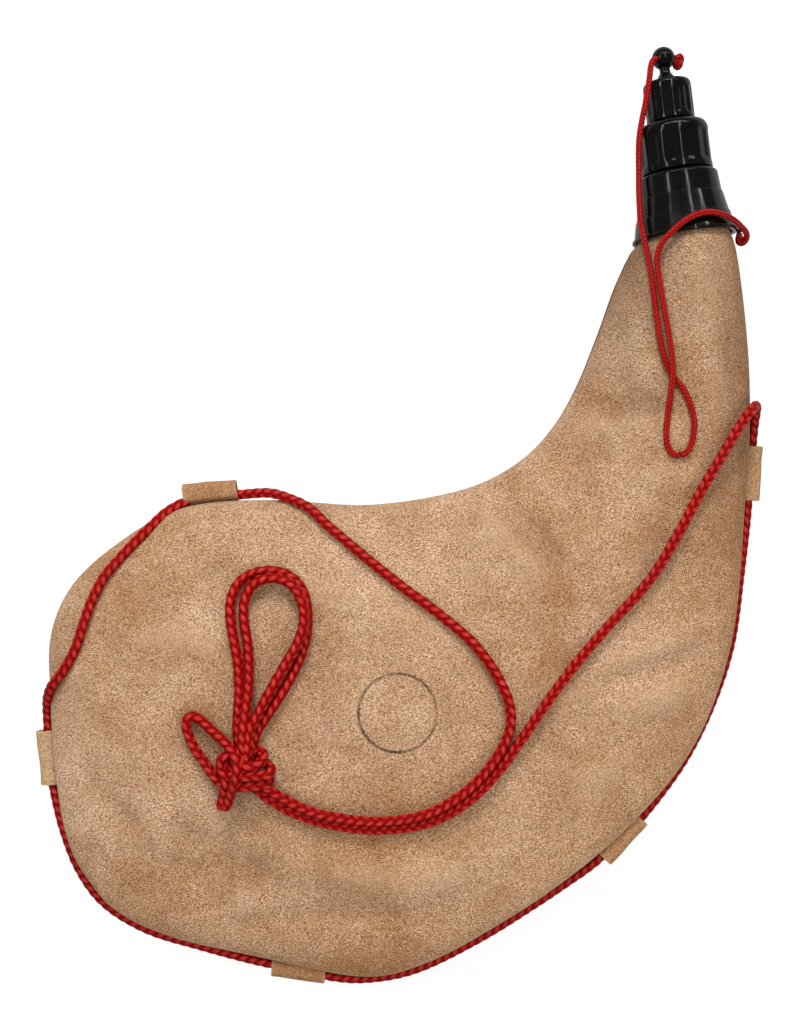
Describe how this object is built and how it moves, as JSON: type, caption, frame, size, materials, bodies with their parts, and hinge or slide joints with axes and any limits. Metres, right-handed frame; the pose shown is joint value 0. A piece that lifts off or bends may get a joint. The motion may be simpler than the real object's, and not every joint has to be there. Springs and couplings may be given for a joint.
{
  "type": "leather canteen",
  "caption": "Curved soft leather drinking skin with an inner bladder, a black plastic screw nozzle and stopper on a tether, and a braided carrying cord held in leather loops along its edge.",
  "frame": {"origin": "on the flat underside of the skin as it lies on its back, below the middle of the belly", "axes": "+Z rises out of the face that the picture shows, +Y runs along the nozzle away from the skin, +X runs from the belly towards the nozzle side"},
  "size_m": [0.3858, 0.4489, 0.0714],
  "materials": {
    "suede": "soft natural suede, undyed tan",
    "black_plastic": "moulded, glossy black",
    "latex": "thin natural latex",
    "seal_rubber": "soft sealing rubber",
    "red_cord": "braided red cord",
    "sewing_thread": "waxed linen thread"
  },
  "bodies": {
    "skin": {"front_panel": "suede", "back_panel": "suede", "bladder": "latex", "seam_thread": "sewing_thread", "loop_top_left": "suede", "loop_left": "suede", "loop_bottom": "suede", "loop_lower_right": "suede", "loop_right": "suede", "neck_bush": "black_plastic", "collar": "black_plastic", "strap_edge_cord": "red_cord", "strap_right_cord": "red_cord", "strap_left_cord": "red_cord", "strap_bow_outer": "red_cord", "strap_bow_inner": "red_cord", "strap_small_loop": "red_cord", "strap_tail": "red_cord", "strap_knot": "red_cord", "tether_upper_cord": "red_cord", "tether_lower_cord": "red_cord", "tether_eye_knot": "red_cord"},
    "nozzle_washer": {"nozzle_gasket": "seal_rubber"},
    "nozzle_cap": {"nozzle": "black_plastic"},
    "stopper_washer": {"stopper_seal": "seal_rubber"},
    "stopper_cap": {"stopper": "black_plastic", "tether_ball_knot": "red_cord"}
  },
  "joints": [
    {"name": "nozzle_lift", "type": "slide", "parent": "skin", "child": "nozzle_washer", "axis": [0, 1, 0], "range_m": [0, 0.016], "deforming": ["tether_upper_cord", "tether_lower_cord"]},
    {"name": "nozzle_turn", "type": "hinge", "parent": "nozzle_washer", "child": "nozzle_cap", "pos_m": [0.177, 0.279, 0.027], "axis": [0, 1, 0], "range_deg": [0, 1440], "deforming": ["tether_upper_cord", "tether_lower_cord"]},
    {"name": "stopper_lift", "type": "slide", "parent": "nozzle_cap", "child": "stopper_washer", "axis": [0, 1, 0], "range_m": [0, 0.016], "deforming": ["tether_upper_cord", "tether_lower_cord"]},
    {"name": "stopper_turn", "type": "hinge", "parent": "stopper_washer", "child": "stopper_cap", "pos_m": [0.177, 0.305, 0.027], "axis": [0, 1, 0], "range_deg": [0, 1440], "deforming": ["tether_upper_cord", "tether_lower_cord"]}
  ],
  "couplings": [
    {"joint": "nozzle_lift", "follows": "nozzle_turn", "m_per_rad": 0.0006366},
    {"joint": "stopper_lift", "follows": "stopper_turn", "m_per_rad": 0.0006366}
  ]
}
